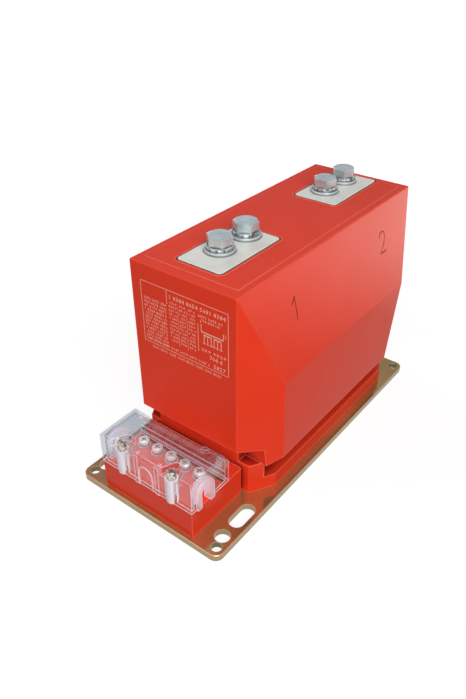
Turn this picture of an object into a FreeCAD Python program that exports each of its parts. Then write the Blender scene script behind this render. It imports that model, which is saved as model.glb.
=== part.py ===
import FreeCAD, Part
import math
import os

# Resin-cast indoor current transformer on a flat steel base plate.
# Millimetres, +Z up. The origin is the middle of the underside of the base plate.
# The secondary terminal box is at the -Y end and the two primary terminals lie along Y on top.

# Base plate
plate_length = 310.0
plate_width = 148.0
plate_thickness = 6.0
plate_corner_radius = 7.0
plate_edge_break = 0.5
corner_hole = 9.0
corner_hole_from_side = 7.5
corner_hole_from_end = 8.5
front_hole = 13.0
front_hole_from_side = 10.4
front_hole_from_end = 19.3
slot_width = 13.0
slot_length = 27.0
slot_from_side = 10.5
slot_from_end = 44.5

# Cast body, heights above the plate
body_height = 187.5
body_top_width = 98.5
ridge_width = 140.2
ridge_height = 108.4
foot_width = 142.8
foot_height = 34.0
body_front = -99.4
body_rear = 157.7
foot_rear = 142.0
facet_angle = 57.0
body_edge_radius = 1.0
underside_width = 126.4
underside_height = 28.4
notch_front_height = 51.0
notch_back_height = 46.2
notch_back = -79.7
notch_foot = -78.0
neck_height = 54.0

# Neck and plinth under the body
neck_width = 84.4
neck_rear = 130.0
plinth_front = -87.8
plinth_rear = 138.0
plinth_width = 130.6
plinth_nose_width = 106.6
plinth_facet_angle = 60.5
plinth_height = 12.7
plinth_nose_height = 29.3
plinth_nose_back = -76.0
plinth_corner_radius = 1.5
plinth_edge_radius = 0.7

# Secondary terminal block, part of the same casting
block_width = 94.6
block_front = -151.2
block_length = 61.2
block_height = 26.0
block_edge_radius = 0.7
web_width = 88.0
web_height = 24.0
trough_width = 90.0
trough_length = 4.5
trough_depth = 7.0
trough_from_cover = 0.3

# Raised panel and lips on the top face
panel_width = 86.6
panel_from_front = 9.4
panel_from_rear = 7.7
panel_rise = 0.45
lip_width = 1.2
lip_rise = 0.35
pad_groove = 0.8
pad_groove_depth = 1.3

# Primary terminal pads
pad_width = 42.5
pad_length = 75.5
pad_thickness = 20.0
pad_proud = 0.55
pad_corner_radius = 4.0
pad_edge_break = 0.8
front_pad_from_front = 56.1
rear_pad_from_rear = 45.5

# Primary bolts and their washers
bolt_thread = 12.0
bolt_across_flats = 18.0
bolt_face = 17.1
bolt_head_height = 7.5
bolt_grip = 15.0
bolt_pitch = 32.0
bolt_x = -3.5
front_bolts_past_pad = 8.6
rear_bolts_past_pad = 2.0
bolt_turns = [-42.0, -31.5, -51.5, -56.0]
spring_washer_outside = 21.1
spring_washer_thickness = 3.0
spring_washer_split = 1.6
flat_washer_outside = 24.0
flat_washer_hole = 13.0
flat_washer_thickness = 2.5
thread_play = 0.1
tapped_run_out = 2.5
bolt_tip = 1.2

# How far a cutting shape reaches past the face that it opens
overcut = 1.0

# Primary conductor and its insulating tube
bar_width = 40.0
bar_thickness = 10.0
bar_bend_radius = 6.0
window_height = 92.0
tube_inside = 44.0
tube_outside = 58.0
tube_length = 112.0

# Ring cores and secondary windings
core_inside = 72.0
core_outside = 112.0
measuring_core_width = 30.0
protection_core_width = 48.0
winding_build = 4.0
core_gap = 4.0

# Secondary terminals
terminal_count = 5
terminal_pitch = 15.0
terminal_first_x = -34.0
terminal_y = -117.0
terminal_thread = 5.0
insert_across = 9.0
insert_depth = 14.0
insert_bore_depth = 11.5
washer_outside = 11.0
washer_hole = 5.4
washer_thickness = 1.2
lock_washer_outside = 9.0
lock_washer_thickness = 1.5
lock_washer_split = 0.9
lock_washer_turn = 30.0
screw_head = 9.0
screw_head_height = 3.6
screw_head_edge = 0.8
screw_reach = 9.0
recess_span = 5.0
recess_width = 1.1
recess_depth = 1.6
lead_diameter = 2.4
lead_depth = 11.0
lead_spread = 0.5
lead_under_windings = 4.0
lead_behind_windings = 6.0
lead_before_windings = 25.0
lead_from_plinth_front = 8.0
leads_of_measuring_winding = 3

# Clear terminal cover
cover_height = 29.5
cover_depth = 44.6
cover_flat = 34.2
cover_bevel_drop = 8.5
end_flat = 39.2
end_bevel_drop = 7.0
left_end_width = 12.3
right_end_width = 19.5
cover_wall = 2.0
cover_front_wall = 2.6
cover_edge_radius = 1.5
seal_x = 25.7
seal_from_front = 3.2
seal_boss = 10.0
seal_pocket_mouth = 18.5
seal_pocket_back = 11.0
seal_pocket_depth = 13.2
seal_pocket_height = 6.5
entry_from_front = 15.5
entry_width = 10.0
entry_height = 19.0
entry_collar = 4.9
entry_collar_outward = 1.8
entry_collar_inward = 3.0
rib_width = 3.6
rib_proud = 0.8
rib_from_top = 1.0
rib_positions = [-8.0, 13.4]
nub_size = 2.0
nub_positions = [-7.6, 15.0]
knock_out_centre = 1.4
knock_out_width = 14.8
knock_out_height = 21.0
knock_out_bead = 0.9
knock_out_proud = 0.5
rear_rib_heights = [4.1, 9.6]
rear_rib_thickness = 0.8
rear_rib_proud = 0.6
catch_x = 40.0
catch_width = 4.0
catch_length = 4.4
catch_height = 7.0
catch_thickness = 1.6
catch_from_top = 5.5

# Sealing screws of the cover
seal_thread = 3.0
seal_head = 7.5
seal_head_height = 7.5
seal_head_edge = 0.5
seal_cross_hole = 2.0
seal_cross_hole_height = 4.9
seal_slot_width = 1.0
seal_slot_depth = 1.2
seal_reach = 9.0
seal_hole = 3.6
seal_insert_across = 5.0
seal_insert_depth = 11.0
seal_bore_depth = 10.0

# Screws that hold the casting on the plate
base_screw_thread = 8.0
base_screw_head = 16.0
base_screw_sunk = 0.3
base_screw_reach = 11.0
base_screw_hole = 8.6
base_screw_socket = 5.0
base_screw_socket_depth = 3.0
base_screw_x = 32.0
base_screw_front_y = -60.0
base_screw_rear_y = 110.0
base_insert_across = 13.0
base_insert_depth = 14.0
base_bore_depth = 12.0

# Heights and places that follow from the sizes above
plate_top = plate_thickness
body_top = plate_top + body_height
panel_top = body_top + panel_rise
pad_top = panel_top + pad_proud
pad_foot = pad_top - pad_thickness
front_pad_y = body_front + front_pad_from_front
rear_pad_y = body_rear - rear_pad_from_rear
front_bolt_pair_y = front_pad_y + front_bolts_past_pad
rear_bolt_pair_y = rear_pad_y + rear_bolts_past_pad
ridge_z = plate_top + ridge_height
foot_z = plate_top + foot_height
underside_z = plate_top + underside_height
plinth_top = plate_top + plinth_height
plinth_nose_top = plate_top + plinth_nose_height
block_top = plate_top + block_height
block_back = block_front + block_length
window_z = plate_top + window_height
cover_top = block_top + cover_height
cover_back = block_front + cover_depth
cover_flat_back = block_front + cover_flat
end_flat_back = block_front + end_flat
seal_floor = cover_top - seal_pocket_height
seal_y = block_front + seal_from_front
entry_y = block_front + entry_from_front
primary_bolt_places = [
    (bolt_x, front_bolt_pair_y - bolt_pitch / 2),
    (bolt_x, front_bolt_pair_y + bolt_pitch / 2),
    (bolt_x, rear_bolt_pair_y - bolt_pitch / 2),
    (bolt_x, rear_bolt_pair_y + bolt_pitch / 2),
]
bolt_head_z = pad_top + flat_washer_thickness + spring_washer_thickness
terminal_places = [(terminal_first_x + i * terminal_pitch, terminal_y) for i in range(terminal_count)]
screw_head_z = block_top + washer_thickness + lock_washer_thickness
seal_places = [(-seal_x, seal_y), (seal_x, seal_y)]
base_screw_places = [
    (side * base_screw_x, y) for side in (-1, 1) for y in (base_screw_front_y, base_screw_rear_y)
]
core_stack_middle = (front_pad_y + rear_pad_y) / 2
measuring_length = measuring_core_width + 2 * winding_build
protection_length = protection_core_width + 2 * winding_build
core_stack_length = measuring_length + core_gap + protection_length
measuring_start = core_stack_middle - core_stack_length / 2
protection_start = measuring_start + measuring_length + core_gap
winding_outside = core_outside + 2 * winding_build
winding_inside = core_inside - 2 * winding_build
base_screw_head_top = base_screw_sunk + (base_screw_head - base_screw_thread) / 2


def flat_face(points):
    """Planar face through a closed run of points."""
    return Part.Face(Part.makePolygon(points + [points[0]]))


def plan_prism(outline, z0, z1):
    """Prism of an XY outline between two heights."""
    face = flat_face([FreeCAD.Vector(x, y, z0) for x, y in outline])
    return face.extrude(FreeCAD.Vector(0, 0, z1 - z0))


def end_prism(outline, y0, y1):
    """Prism of an XZ outline along Y."""
    face = flat_face([FreeCAD.Vector(x, y0, z) for x, z in outline])
    return face.extrude(FreeCAD.Vector(0, y1 - y0, 0))


def side_prism(outline, x0, x1):
    """Prism of a YZ outline along X."""
    face = flat_face([FreeCAD.Vector(x0, y, z) for y, z in outline])
    return face.extrude(FreeCAD.Vector(x1 - x0, 0, 0))


def block(x0, x1, y0, y1, z0, z1):
    """Rectangular block between two corners."""
    return Part.makeBox(x1 - x0, y1 - y0, z1 - z0, FreeCAD.Vector(x0, y0, z0))


def post(x, y, z0, z1, diameter):
    """Upright cylinder."""
    return Part.makeCylinder(diameter / 2, z1 - z0, FreeCAD.Vector(x, y, z0))


def hexagon_prism(x, y, z0, z1, across_flats, turn):
    """Upright hexagonal prism."""
    radius = across_flats / math.sqrt(3)
    outline = []
    for i in range(6):
        angle = math.radians(turn + 60 * i)
        outline.append((x + radius * math.cos(angle), y + radius * math.sin(angle)))
    return plan_prism(outline, z0, z1)


def ring_along_y(y0, y1, inside, outside):
    """Ring whose axis is the centre line of the core window."""
    foot = FreeCAD.Vector(0, y0, window_z)
    along = FreeCAD.Vector(0, 1, 0)
    outer = Part.makeCylinder(outside / 2, y1 - y0, foot, along)
    inner = Part.makeCylinder(inside / 2, y1 - y0, foot, along)
    return outer.cut(inner)


def is_upright(edge):
    """True for an edge that runs mostly upwards."""
    first = edge.Vertexes[0].Point
    last = edge.Vertexes[-1].Point
    rise = abs(last.z - first.z)
    run = math.hypot(last.x - first.x, last.y - first.y)
    return rise > 2 * run


def is_at_height(edge, height):
    """True for an edge that lies at one height."""
    return all(abs(vertex.Z - height) < 0.01 for vertex in edge.Vertexes)


def is_at_side(edge, x):
    """True for an edge that lies in one end face."""
    return all(abs(abs(vertex.X) - x) < 0.01 for vertex in edge.Vertexes)


def runs_along_x(edge):
    """True for an edge parallel to X."""
    first = edge.Vertexes[0].Point
    last = edge.Vertexes[-1].Point
    return abs(last.x - first.x) > abs(last.y - first.y) + abs(last.z - first.z)


def rounded_slab(x, y, width, length, z0, z1, radius):
    """Slab with rounded upright corners, centred on x and y."""
    slab = block(x - width / 2, x + width / 2, y - length / 2, y + length / 2, z0, z1)
    return slab.makeFillet(radius, [edge for edge in slab.Edges if is_upright(edge)])


def chamfer_rim(solid, size, height):
    """Chamfer every edge that lies at one height."""
    return solid.makeChamfer(size, [edge for edge in solid.Edges if is_at_height(edge, height)])


def octagon(half_nose, half_width, front, rear, slope_angle):
    """Plan outline of a long block whose four corners are cut by facets."""
    run = (half_width - half_nose) * math.tan(math.radians(slope_angle))
    right = [
        (half_nose, front),
        (half_width, front + run),
        (half_width, rear - run),
        (half_nose, rear),
    ]
    left = [(-x, y) for x, y in reversed(right)]
    return right + left


def slot_cut(x, y, width, length, z0, z1):
    """Slotted hole that runs along Y."""
    reach = (length - width) / 2
    middle = block(x - width / 2, x + width / 2, y - reach, y + reach, z0, z1)
    ends = [post(x, y + side * reach, z0, z1, width) for side in (-1, 1)]
    return middle.multiFuse(ends)


def base_plate():
    """Steel plate with its fixing holes, slots and countersunk holes for the casting."""
    plate = rounded_slab(0, 0, plate_width, plate_length, 0, plate_top, plate_corner_radius)
    plate = chamfer_rim(plate, plate_edge_break, plate_top)
    cuts = []
    hole_x = plate_width / 2 - corner_hole_from_side
    hole_y = plate_length / 2 - corner_hole_from_end
    for side in (-1, 1):
        for end in (-1, 1):
            cuts.append(post(side * hole_x, end * hole_y, 0, plate_top, corner_hole))
        front_x = side * (plate_width / 2 - front_hole_from_side)
        front_y = front_hole_from_end - plate_length / 2
        cuts.append(post(front_x, front_y, 0, plate_top, front_hole))
        slot_x = side * (plate_width / 2 - slot_from_side)
        slot_y = slot_from_end - plate_length / 2
        cuts.append(slot_cut(slot_x, slot_y, slot_width, slot_length, 0, plate_top))
    for x, y in base_screw_places:
        cuts.append(post(x, y, 0, plate_top, base_screw_hole))
        cuts.append(countersink(x, y, 0))
    for piece in cuts:
        plate = plate.cut(piece)
    return plate


def countersink(x, y, z0):
    """Cone of a countersunk head, from one height up to where it meets the thread."""
    height = base_screw_head_top - z0
    small = base_screw_thread / 2
    return Part.makeCone(small + height, small, height, FreeCAD.Vector(x, y, z0))


def upper_body():
    """Upper part: an octagon in plan, narrowed by the sloping side panels."""
    half_top = body_top_width / 2
    half_ridge = ridge_width / 2
    plan = plan_prism(
        octagon(half_top, half_ridge, body_front, body_rear, facet_angle), ridge_z, body_top
    )
    section = [(-half_ridge, ridge_z), (half_ridge, ridge_z), (half_top, body_top), (-half_top, body_top)]
    return plan.common(end_prism(section, body_front - overcut, body_rear + overcut))


def lower_body():
    """Lower part: a ruled loft from the foot to the ridge, with the rear end drawn in."""
    half_top = body_top_width / 2
    levels = [
        (foot_width / 2, underside_z, foot_rear),
        (ridge_width / 2, ridge_z, body_rear),
    ]
    wires = []
    for half_width, height, rear in levels:
        outline = octagon(half_top, half_width, body_front, rear, facet_angle)
        points = [FreeCAD.Vector(x, y, height) for x, y in outline]
        wires.append(Part.makePolygon(points + [points[0]]))
    return Part.makeLoft(wires, True, True)


def body_hull():
    """Faceted hull of the casting with rounded edges and the undercut at its foot."""
    hull = upper_body().fuse(lower_body()).removeSplitter()
    rounded = [edge for edge in hull.Edges if not is_at_height(edge, underside_z)]
    hull = hull.makeFillet(body_edge_radius, rounded)
    reach = foot_width / 2 + overcut
    half_under = underside_width / 2
    slope = (foot_z - underside_z) / (foot_width / 2 - half_under)
    for side in (-1, 1):
        wedge = [
            (side * half_under, underside_z - overcut),
            (side * half_under, underside_z),
            (side * reach, underside_z + slope * (reach - half_under)),
            (side * reach, underside_z - overcut),
        ]
        hull = hull.cut(end_prism(wedge, body_front - overcut, body_rear + overcut))
    notch = [
        (body_front - overcut, underside_z - overcut),
        (body_front - overcut, plate_top + notch_front_height),
        (notch_back, plate_top + notch_back_height),
        (notch_foot, underside_z - overcut),
    ]
    return hull.cut(side_prism(notch, -reach, reach))


def plinth():
    """Low octagonal plinth on the plate, higher under the nose of the body."""
    outline = octagon(
        plinth_nose_width / 2, plinth_width / 2, plinth_front, plinth_rear, plinth_facet_angle
    )
    solid = plan_prism(outline, plate_top, plinth_nose_top)
    solid = solid.makeFillet(plinth_corner_radius, [edge for edge in solid.Edges if is_upright(edge)])
    solid = solid.makeFillet(
        plinth_edge_radius, [edge for edge in solid.Edges if is_at_height(edge, plinth_nose_top)]
    )
    reach = plinth_width / 2 + overcut
    back = block(
        -reach, reach, plinth_nose_back, plinth_rear + overcut, plinth_top, plinth_nose_top + overcut
    )
    return solid.cut(back)


def terminal_block():
    """Block that carries the secondary terminals, joined to the plinth by a web."""
    half = block_width / 2
    solid = block(-half, half, block_front, block_back, plate_top, block_top)
    solid = solid.makeFillet(block_edge_radius, [edge for edge in solid.Edges if is_upright(edge)])
    trough_back = cover_back - trough_from_cover
    trough = block(
        -trough_width / 2,
        trough_width / 2,
        trough_back - trough_length,
        trough_back,
        block_top - trough_depth,
        block_top,
    )
    web = block(
        -web_width / 2,
        web_width / 2,
        block_back - overcut,
        plinth_front + overcut,
        plate_top,
        plate_top + web_height,
    )
    return solid.cut(trough).fuse(web)


def pad_ring(y, gap, z0, z1):
    """Slab of one pad's outline, grown by a gap on every side."""
    return rounded_slab(
        0, y, pad_width + 2 * gap, pad_length + 2 * gap, z0, z1, pad_corner_radius + gap
    )


def pad_lip(y):
    """Raised lip of resin round one terminal pad."""
    top = panel_top + lip_rise
    return pad_ring(y, pad_groove + lip_width, body_top, top).cut(pad_ring(y, pad_groove, body_top, top))


def pad_pocket(y):
    """Space in the resin for one pad, with a narrow groove round its top."""
    groove = pad_ring(y, pad_groove, panel_top - pad_groove_depth, panel_top + lip_rise)
    return groove.fuse(pad_ring(y, 0, pad_foot, pad_top))


def resin_body(embedded):
    """The whole casting: hull, neck, plinth and terminal block, with room for what it holds."""
    neck = block(
        -neck_width / 2,
        neck_width / 2,
        plinth_front,
        neck_rear,
        plinth_top - overcut,
        plate_top + neck_height,
    )
    panel = block(
        -panel_width / 2,
        panel_width / 2,
        body_front + panel_from_front,
        body_rear - panel_from_rear,
        body_top,
        panel_top,
    )
    parts = [neck, plinth(), terminal_block(), panel, pad_lip(front_pad_y), pad_lip(rear_pad_y)]
    casting = body_hull().multiFuse(parts).removeSplitter()
    for piece in [pad_pocket(front_pad_y), pad_pocket(rear_pad_y)] + embedded:
        casting = casting.cut(piece)
    return casting


def terminal_plate(y, places):
    """Tinned copper pad with two tapped holes."""
    pad = chamfer_rim(pad_ring(y, 0, pad_foot, pad_top), pad_edge_break, pad_top)
    depth = bolt_grip + tapped_run_out
    for x, hole_y in places:
        pad = pad.cut(post(x, hole_y, pad_top - depth, pad_top, bolt_thread + 2 * thread_play))
    return pad


def turned(profile, x, y, z):
    """Solid of revolution about an upright axis from radius and height pairs."""
    points = [FreeCAD.Vector(radius, 0, height) for radius, height in profile]
    solid = flat_face(points).revolve(FreeCAD.Vector(0, 0, 0), FreeCAD.Vector(0, 0, 1), 360)
    solid.translate(FreeCAD.Vector(x, y, z))
    return solid


def hexagon_bolt(x, y, turn):
    """Hexagon head bolt, its head chamfered at thirty degrees."""
    corner = bolt_across_flats / math.sqrt(3)
    flat = bolt_face / 2
    drop = (corner - flat) * math.tan(math.radians(30))
    head = hexagon_prism(x, y, bolt_head_z, bolt_head_z + bolt_head_height, bolt_across_flats, turn)
    profile = [
        (0, 0),
        (corner, 0),
        (corner, bolt_head_height - drop),
        (flat, bolt_head_height),
        (0, bolt_head_height),
    ]
    shank = post(x, y, pad_top - bolt_grip, bolt_head_z, bolt_thread)
    shank = chamfer_rim(shank, bolt_tip, pad_top - bolt_grip)
    return head.common(turned(profile, x, y, bolt_head_z)).fuse(shank)


def washer(x, y, z, outside, hole, thickness):
    """Flat washer."""
    return post(x, y, z, z + thickness, outside).cut(post(x, y, z, z + thickness, hole))


def split_washer(x, y, z, outside, hole, thickness, split, turn):
    """Spring washer whose slanted split faces the given direction."""
    slant = (thickness / 2 + overcut) / 2
    outline = [
        (-split / 2 - slant, -overcut),
        (split / 2 - slant, -overcut),
        (split / 2 + slant, thickness + overcut),
        (-split / 2 + slant, thickness + overcut),
    ]
    cut = end_prism(outline, 0, outside / 2 + overcut)
    cut.rotate(FreeCAD.Vector(0, 0, 0), FreeCAD.Vector(0, 0, 1), turn)
    cut.translate(FreeCAD.Vector(x, y, z))
    return washer(x, y, z, outside, hole, thickness).cut(cut)


def primary_conductor():
    """Copper bar bent to a U, from under one pad through the cores to the other pad."""
    solids = []
    for side, radius in ((1, bar_bend_radius + bar_thickness), (-1, bar_bend_radius)):
        reach = side * bar_thickness / 2
        outline = [
            (front_pad_y - reach, pad_foot),
            (rear_pad_y + reach, pad_foot),
            (rear_pad_y + reach, window_z - reach),
            (front_pad_y - reach, window_z - reach),
        ]
        solid = side_prism(outline, -bar_width / 2, bar_width / 2)
        bends = [
            edge for edge in solid.Edges if is_at_height(edge, window_z - reach) and runs_along_x(edge)
        ]
        solids.append(solid.makeFillet(radius, bends))
    return solids[0].cut(solids[1])


def primary_insulation():
    """Insulating tube between the primary bar and the cores."""
    start = core_stack_middle - tube_length / 2
    return ring_along_y(start, start + tube_length, tube_inside, tube_outside)


def ring_core(start, width):
    """Wound ring core."""
    first = start + winding_build
    return ring_along_y(first, first + width, core_inside, core_outside)


def winding_space(start, width):
    """Core and winding together, as the resin meets them."""
    return ring_along_y(start, start + width + 2 * winding_build, winding_inside, winding_outside)


def ring_winding(start, width):
    """Secondary winding that wraps its core on every side."""
    return winding_space(start, width).cut(ring_core(start, width))


def rod(points, diameter):
    """Round wire along straight runs with mitred bends."""
    run = [FreeCAD.Vector(*point) for point in points]
    path = Part.makePolygon(run)
    circle = Part.Wire(Part.makeCircle(diameter / 2, run[0], run[1] - run[0]))
    return path.makePipeShell([circle], True, False, 1)


def secondary_leads():
    """Wires from the windings to the terminal inserts, cast into the resin."""
    leads = []
    lead_z = block_top - lead_depth
    side_z = window_z - (winding_inside + winding_outside) / 4
    low_z = window_z - winding_outside / 2 - lead_under_windings
    front_y = measuring_start - lead_before_windings
    rear_y = protection_start + protection_length
    for number, (x, y) in enumerate(terminal_places):
        start_x = x * lead_spread
        if number < leads_of_measuring_winding:
            start = [(start_x, measuring_start, side_z), (start_x, front_y, side_z)]
        else:
            turn_y = rear_y + lead_behind_windings
            start = [
                (start_x, rear_y, side_z),
                (start_x, turn_y, side_z),
                (start_x, turn_y, low_z),
                (start_x, front_y, low_z),
            ]
        finish = [(x, plinth_front + lead_from_plinth_front, lead_z), (x, y + insert_across / 2, lead_z)]
        leads.append(rod(start + finish, lead_diameter))
    return leads


def wells(places, z0, z1, across):
    """Hexagonal seats of threaded inserts in the resin."""
    return [hexagon_prism(x, y, z0, z1, across, 0) for x, y in places]


def bored(inserts, places, z0, z1, bore):
    """Inserts with their threaded bores."""
    return [insert.cut(post(x, y, z0, z1, bore)) for insert, (x, y) in zip(inserts, places)]


def pan_screw(x, y):
    """Pan head screw with a cross recess."""
    top = screw_head_z + screw_head_height
    head = chamfer_rim(post(x, y, screw_head_z, top, screw_head), screw_head_edge, top)
    for across, along in ((recess_width, recess_span), (recess_span, recess_width)):
        head = head.cut(
            block(x - across / 2, x + across / 2, y - along / 2, y + along / 2, top - recess_depth, top)
        )
    return head.fuse(post(x, y, block_top - screw_reach, screw_head_z, terminal_thread))


def cover_profile(flat_back, bevel_drop, wall, front_wall):
    """Side profile of the cover, moved inwards by its walls."""
    slope = math.atan2(bevel_drop, cover_back - flat_back)
    return [
        (block_front + front_wall, block_top),
        (cover_back - wall, block_top),
        (cover_back - wall, cover_top - bevel_drop - wall * math.tan(math.pi / 4 - slope / 2)),
        (flat_back - wall * math.tan(slope / 2), cover_top - wall),
        (block_front + front_wall, cover_top - wall),
    ]


def cover_form(wall, front_wall):
    """Outline of the cover as a solid, moved inwards by its walls: a bevelled middle and fuller ends."""
    half = block_width / 2
    middle = cover_profile(cover_flat_back, cover_bevel_drop, wall, front_wall)
    end = cover_profile(end_flat_back, end_bevel_drop, wall, front_wall)
    left = side_prism(end, wall - half, left_end_width - half - wall)
    right = side_prism(end, half - right_end_width + wall, half - wall)
    return side_prism(middle, wall - half, half - wall).multiFuse([left, right]).removeSplitter()


def cover_skin():
    """Outside of the cover with its edges rounded along both ends and the front."""
    skin = cover_form(0, 0)
    edges = []
    for edge in skin.Edges:
        at_end = is_at_side(edge, block_width / 2) and not is_upright(edge)
        at_front = runs_along_x(edge) and abs(edge.Vertexes[0].Y - block_front) < 0.01
        if (at_end or at_front) and not is_at_height(edge, block_top):
            edges.append(edge)
    return skin.makeFillet(cover_edge_radius, edges)


def seal_pocket(x, wall, z0, z1):
    """Pocket round a sealing screw: round at the back and flared to the front."""
    back = seal_pocket_back / 2 + wall
    mouth = seal_pocket_mouth / 2 + wall
    middle_y = block_front + seal_pocket_depth - seal_pocket_back / 2
    flare = [(x - back, middle_y), (x - mouth, block_front), (x + mouth, block_front), (x + back, middle_y)]
    lip = block(x - mouth, x + mouth, block_front - overcut, block_front, z0, z1)
    return plan_prism(flare, z0, z1).multiFuse([lip, post(x, middle_y, z0, z1, 2 * back)])


def arch_along_x(width, height, x0, x1):
    """Arch-shaped prism through an end wall, on top of the terminal block."""
    spring = block_top + height - width / 2
    legs = block(x0, x1, entry_y - width / 2, entry_y + width / 2, block_top, spring)
    crown = Part.makeCylinder(
        width / 2, x1 - x0, FreeCAD.Vector(x0, entry_y, spring), FreeCAD.Vector(1, 0, 0)
    )
    return legs.fuse(crown)


def arch_along_y(width, height):
    """Arch-shaped prism that stands proud of the front wall."""
    x = knock_out_centre
    y0 = block_front - knock_out_proud
    y1 = block_front + cover_front_wall / 2
    spring = block_top + height - width / 2
    legs = block(x - width / 2, x + width / 2, y0, y1, block_top, spring)
    crown = Part.makeCylinder(
        width / 2, y1 - y0, FreeCAD.Vector(x, y0, spring), FreeCAD.Vector(0, 1, 0)
    )
    return legs.fuse(crown)


def cover_details():
    """What stands proud of the cover's walls: bosses, collars, ribs, nubs, knock-out and catch."""
    half = block_width / 2
    inside = half - cover_wall
    details = [post(x, y, block_top, seal_floor, seal_boss) for x, y in seal_places]
    for x0 in (-half - entry_collar_outward, inside - entry_collar_inward):
        x1 = x0 + entry_collar_outward + cover_wall + entry_collar_inward
        details.append(
            arch_along_x(entry_width + 2 * entry_collar, entry_height + entry_collar, x0, x1)
        )
    for x in rib_positions:
        details.append(
            block(
                x - rib_width / 2,
                x + rib_width / 2,
                block_front - rib_proud,
                block_front + cover_front_wall / 2,
                block_top,
                cover_top - rib_from_top,
            )
        )
    for x in nub_positions:
        details.append(
            block(
                x - nub_size / 2,
                x + nub_size / 2,
                block_front + cover_edge_radius,
                block_front + cover_edge_radius + nub_size,
                cover_top - cover_wall / 2,
                cover_top + nub_size / 2,
            )
        )
    outer = arch_along_y(knock_out_width, knock_out_height)
    inner = arch_along_y(knock_out_width - 2 * knock_out_bead, knock_out_height - knock_out_bead)
    details.append(outer.cut(inner))
    rear = cover_back - cover_wall
    for height in rear_rib_heights:
        z = block_top + height
        details.append(
            block(
                -inside,
                inside,
                rear - rear_rib_proud,
                rear + cover_wall / 2,
                z,
                z + rear_rib_thickness,
            )
        )
    catch_top = cover_top - catch_from_top
    catch_foot = catch_top - catch_height
    catch_front = rear - catch_length
    for x1, y1, z1 in (
        (catch_x + catch_thickness, rear + cover_wall / 2, catch_top),
        (catch_x + catch_width, catch_front + catch_thickness, catch_foot + catch_thickness),
    ):
        details.append(block(catch_x, x1, catch_front, y1, catch_foot, z1))
    return details


def terminal_cover():
    """Clear moulded cover: shell, screw bosses in pockets, arched entries, ribs and catch."""
    skin = cover_skin()
    space = cover_form(cover_wall, cover_front_wall)
    for x, y in seal_places:
        skin = skin.cut(seal_pocket(x, 0, seal_floor, cover_top))
        space = space.cut(seal_pocket(x, cover_wall, seal_floor - cover_wall, cover_top))
    cover = skin.cut(space).multiFuse(cover_details()).removeSplitter()
    reach = block_width / 2 + entry_collar_outward + overcut
    depth = entry_collar_outward + cover_wall + entry_collar_inward + 2 * overcut
    for x0 in (-reach, reach - depth):
        cover = cover.cut(arch_along_x(entry_width, entry_height, x0, x0 + depth))
    for x, y in seal_places:
        cover = cover.cut(post(x, y, block_top, seal_floor, seal_hole))
    return cover


def sealing_screw(x, y):
    """Tall-headed screw with a cross hole for a seal wire."""
    top = seal_floor + seal_head_height
    head = chamfer_rim(post(x, y, seal_floor, top, seal_head), seal_head_edge, top)
    drill = Part.makeCylinder(
        seal_cross_hole / 2,
        seal_head,
        FreeCAD.Vector(x - seal_head / 2, y, seal_floor + seal_cross_hole_height),
        FreeCAD.Vector(1, 0, 0),
    )
    slot = block(
        x - seal_head / 2,
        x + seal_head / 2,
        y - seal_slot_width / 2,
        y + seal_slot_width / 2,
        top - seal_slot_depth,
        top,
    )
    shank = post(x, y, block_top - seal_reach, seal_floor, seal_thread)
    return head.cut(drill).cut(slot).fuse(shank)


def base_screw(x, y):
    """Countersunk socket screw through the plate from below."""
    shank = post(x, y, base_screw_head_top, plate_top + base_screw_reach, base_screw_thread)
    socket = hexagon_prism(
        x, y, base_screw_sunk, base_screw_sunk + base_screw_socket_depth, base_screw_socket, 0
    )
    return countersink(x, y, base_screw_sunk).fuse(shank).cut(socket)


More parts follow.
